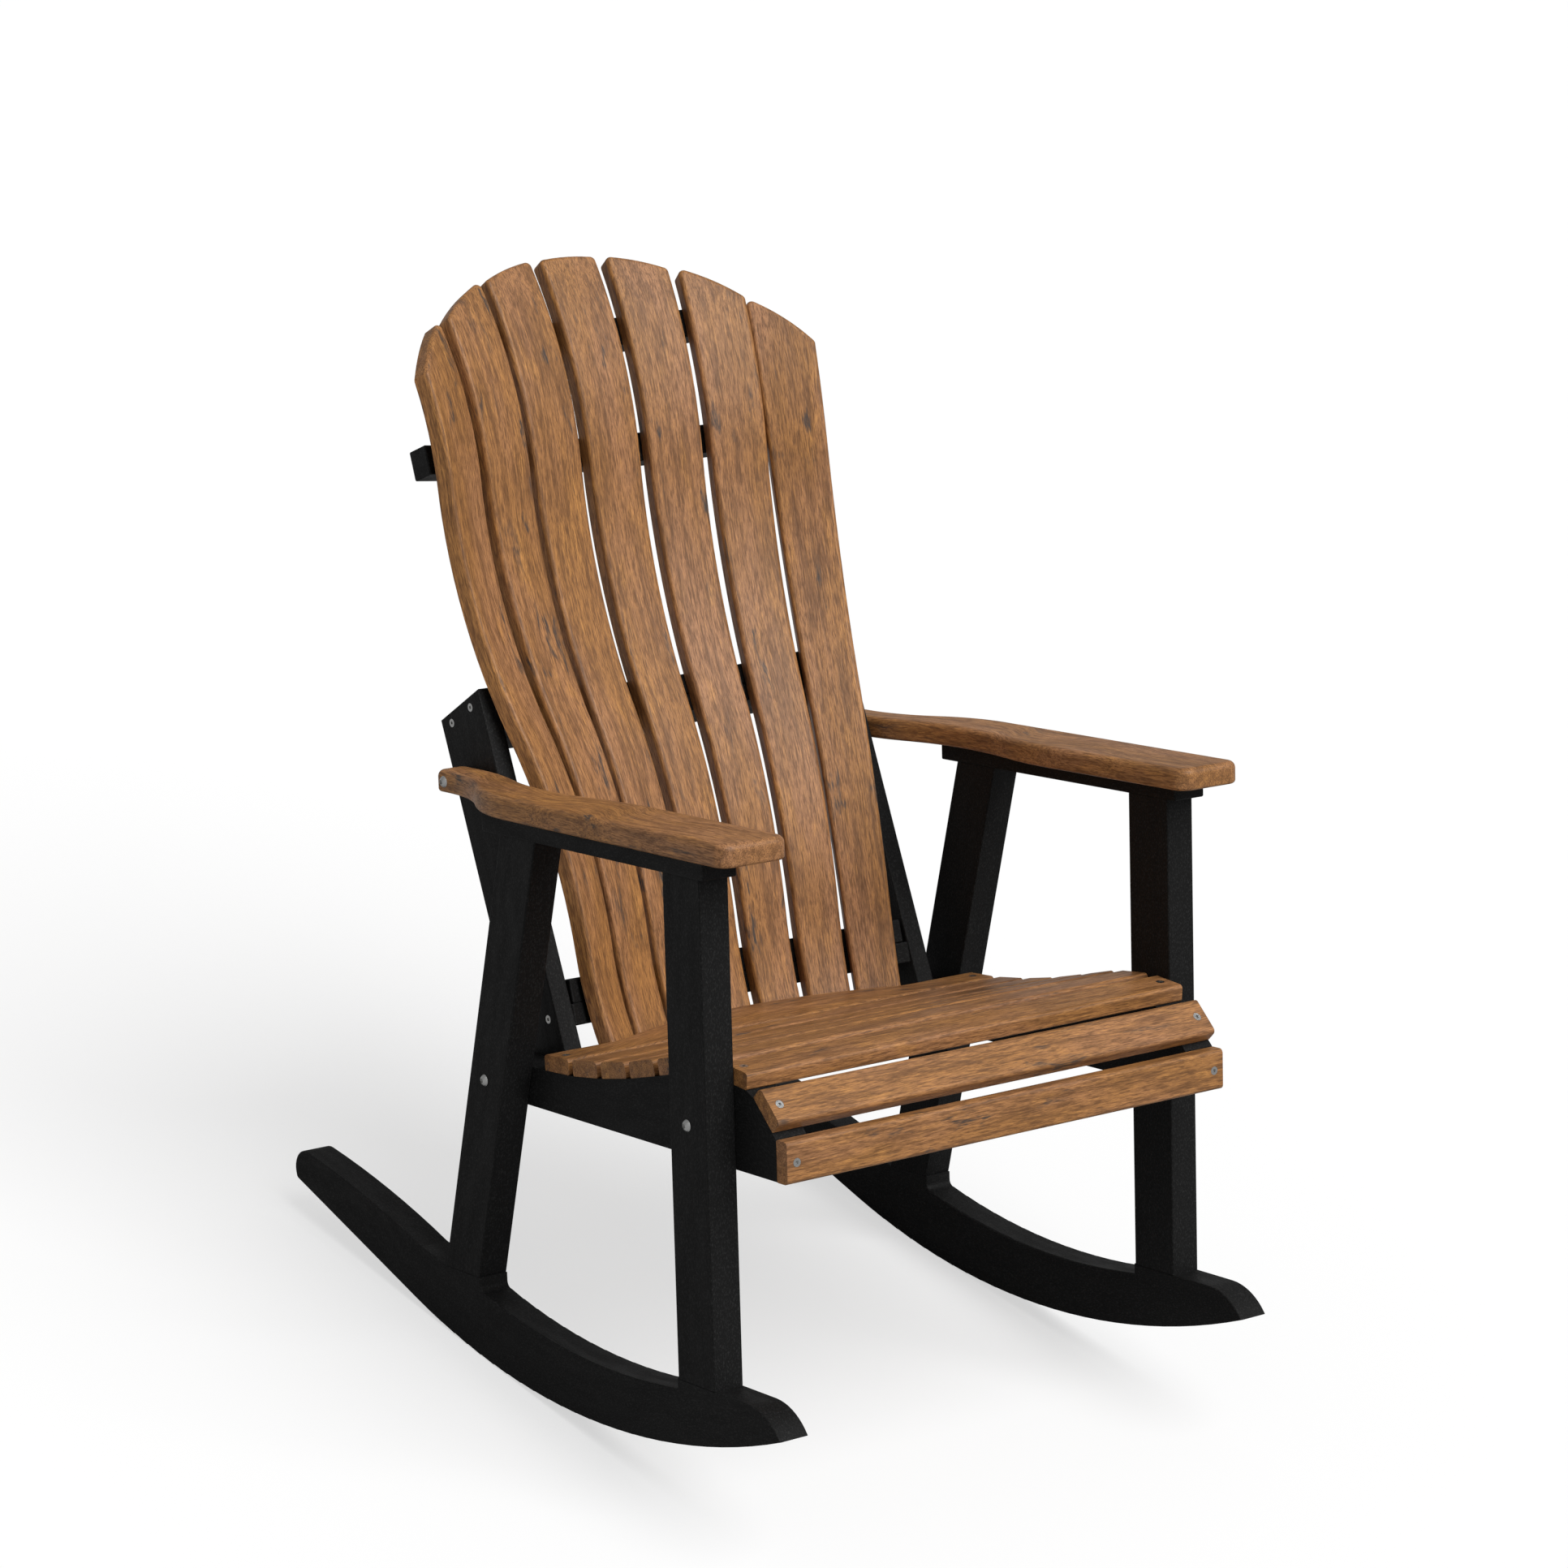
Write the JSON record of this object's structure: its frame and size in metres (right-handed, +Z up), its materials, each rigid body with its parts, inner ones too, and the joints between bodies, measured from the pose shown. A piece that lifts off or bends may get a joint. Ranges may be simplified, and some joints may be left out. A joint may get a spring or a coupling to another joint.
{
  "type": "rocking adirondack chair",
  "caption": "Rocking adirondack chair with a fanned, arched slat back, a scooped slat seat, flared armrests and curved rockers.",
  "frame": {"origin": "centre of the outline on the floor under the rockers", "axes": "+X to the sitter's left, +Y towards the back, +Z up"},
  "size_m": [0.722, 1.0684, 1.1371],
  "materials": {
    "brown_lumber": "satin poly lumber, streaked wood grain",
    "black_lumber": "matte poly lumber, finely speckled",
    "stainless_steel": "satin stainless steel"
  },
  "bodies": {
    "root": {"left_rocker": "black_lumber", "left_front_leg": "black_lumber", "left_rear_leg": "black_lumber", "left_seat_rail": "black_lumber", "left_arm_rail": "black_lumber", "left_back_upright": "black_lumber", "left_armrest": "brown_lumber", "right_rocker": "black_lumber", "right_front_leg": "black_lumber", "right_rear_leg": "black_lumber", "right_seat_rail": "black_lumber", "right_arm_rail": "black_lumber", "right_back_upright": "black_lumber", "right_armrest": "brown_lumber", "seat_slat_1": "brown_lumber", "back_slat_1": "brown_lumber", "seat_slat_2": "brown_lumber", "back_slat_2": "brown_lumber", "seat_slat_3": "brown_lumber", "back_slat_3": "brown_lumber", "seat_slat_4": "brown_lumber", "back_slat_4": "brown_lumber", "seat_slat_5": "brown_lumber", "back_slat_5": "brown_lumber", "seat_slat_6": "brown_lumber", "back_slat_6": "brown_lumber", "seat_slat_7": "brown_lumber", "back_slat_7": "brown_lumber", "seat_nosing": "brown_lumber", "seat_apron": "brown_lumber", "top_back_rail": "black_lumber", "upper_back_rail": "black_lumber", "middle_back_board": "black_lumber", "middle_back_strip": "black_lumber", "lower_back_strip": "black_lumber", "lower_back_board": "black_lumber", "seat_screws": "stainless_steel", "seat_under_screws": "stainless_steel", "nosing_screws": "stainless_steel", "apron_screws": "stainless_steel", "front_leg_bolts": "stainless_steel", "front_leg_nuts": "stainless_steel", "rear_leg_bolts": "stainless_steel", "rear_leg_nuts": "stainless_steel", "arm_bolts": "stainless_steel", "arm_nuts": "stainless_steel", "rocker_screws": "stainless_steel", "arm_rail_screws": "stainless_steel", "arm_screws": "stainless_steel", "back_slat_screws": "stainless_steel", "upright_screws": "stainless_steel", "strip_screws": "stainless_steel"}
  },
  "joints": []
}
